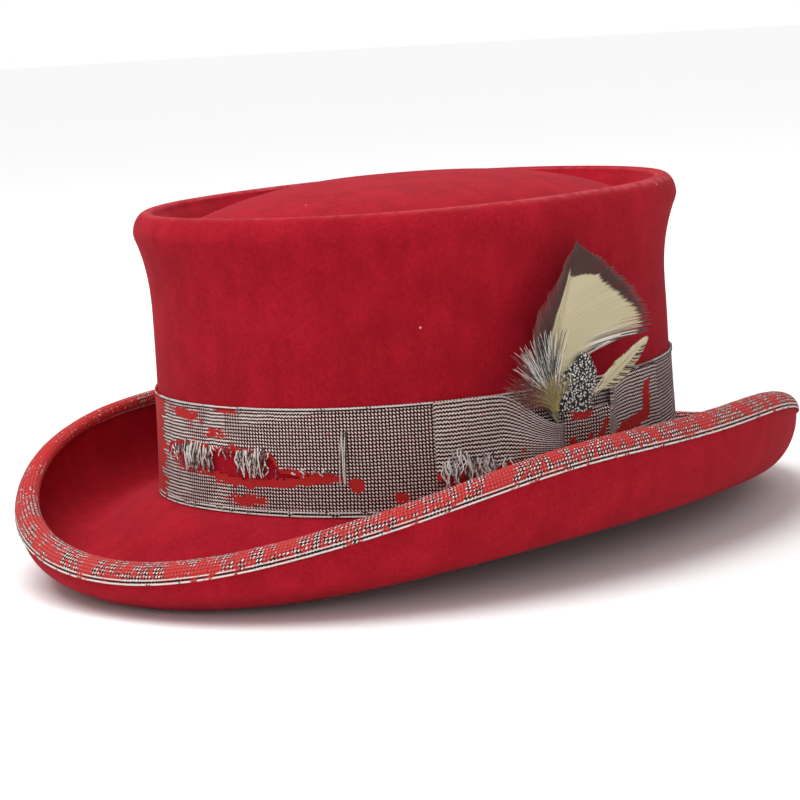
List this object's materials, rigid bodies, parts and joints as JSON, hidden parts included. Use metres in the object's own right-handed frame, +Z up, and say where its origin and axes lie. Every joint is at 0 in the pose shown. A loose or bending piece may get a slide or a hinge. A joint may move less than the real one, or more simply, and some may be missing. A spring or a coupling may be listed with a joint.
{
  "type": "felt top hat",
  "caption": "Low-crowned felt top hat with a curled bound brim, telescoped dome tip, worn ribbon band, side bow and lift-out feather mount.",
  "frame": {"origin": "centre of the hat's footprint, on the surface that the brim's belly rests on", "axes": "front of the hat towards -Y, the wearer's left (the bow's side) towards +X, +Z up through the crown"},
  "size_m": [0.249, 0.328, 0.1314],
  "materials": {
    "crimson_felt": "deep crimson velour-finish fur felt",
    "wire_steel": "bright annealed wire",
    "worn_binding": "ribbed grosgrain binding, red with worn pale and dark threads",
    "pale_thread": "pale cotton thread",
    "sweat_leather": "brown smooth sheepskin",
    "reed_plastic": "straw-coloured reed",
    "reed_tape": "plain cotton tape",
    "bow_cord": "narrow black ribbon",
    "black_satin": "black acetate satin",
    "red_piping": "dark red satin piping",
    "worn_ribbon": "grey-taupe grosgrain over a red ground, abraded and torn",
    "dark_thread": "dark sewing thread",
    "quill_horn": "translucent horn quill",
    "cream_feather": "cream vane with a dark brown edge",
    "speckled_feather": "black feather with white spots",
    "striped_feather": "black and white barred hackle",
    "brown_hackle": "brown hackle",
    "olive_fluff": "yellow-olive down"
  },
  "bodies": {
    "hat": {"felt_body": "crimson_felt", "brim_wire": "wire_steel", "brim_binding": "worn_binding", "binding_stitches": "pale_thread", "sweatband": "sweat_leather", "sweatband_reed": "reed_plastic", "sweatband_tape": "reed_tape", "sweatband_stitches": "pale_thread", "sweatband_back_seam": "sweat_leather", "sweatband_bow": "bow_cord", "lining_sidewall": "black_satin", "lining_tip": "black_satin", "lining_piping": "red_piping", "hatband_ribbon": "worn_ribbon", "hatband_tacks": "dark_thread", "bow_front_wing": "worn_ribbon", "bow_back_wing": "worn_ribbon", "bow_knot": "worn_ribbon"},
    "feather_mount": {"feather_stems": "quill_horn", "stem_wrap": "dark_thread", "main_feather": "cream_feather", "small_feather": "cream_feather", "speckled_feather": "speckled_feather", "striped_feather": "striped_feather", "hackle_tuft": "brown_hackle", "olive_tuft": "olive_fluff"}
  },
  "joints": [
    {"name": "feather_lift", "type": "slide", "parent": "hat", "child": "feather_mount", "axis": [0.0865, -0.0108, 0.9962], "range_m": [0, 0.115]}
  ]
}
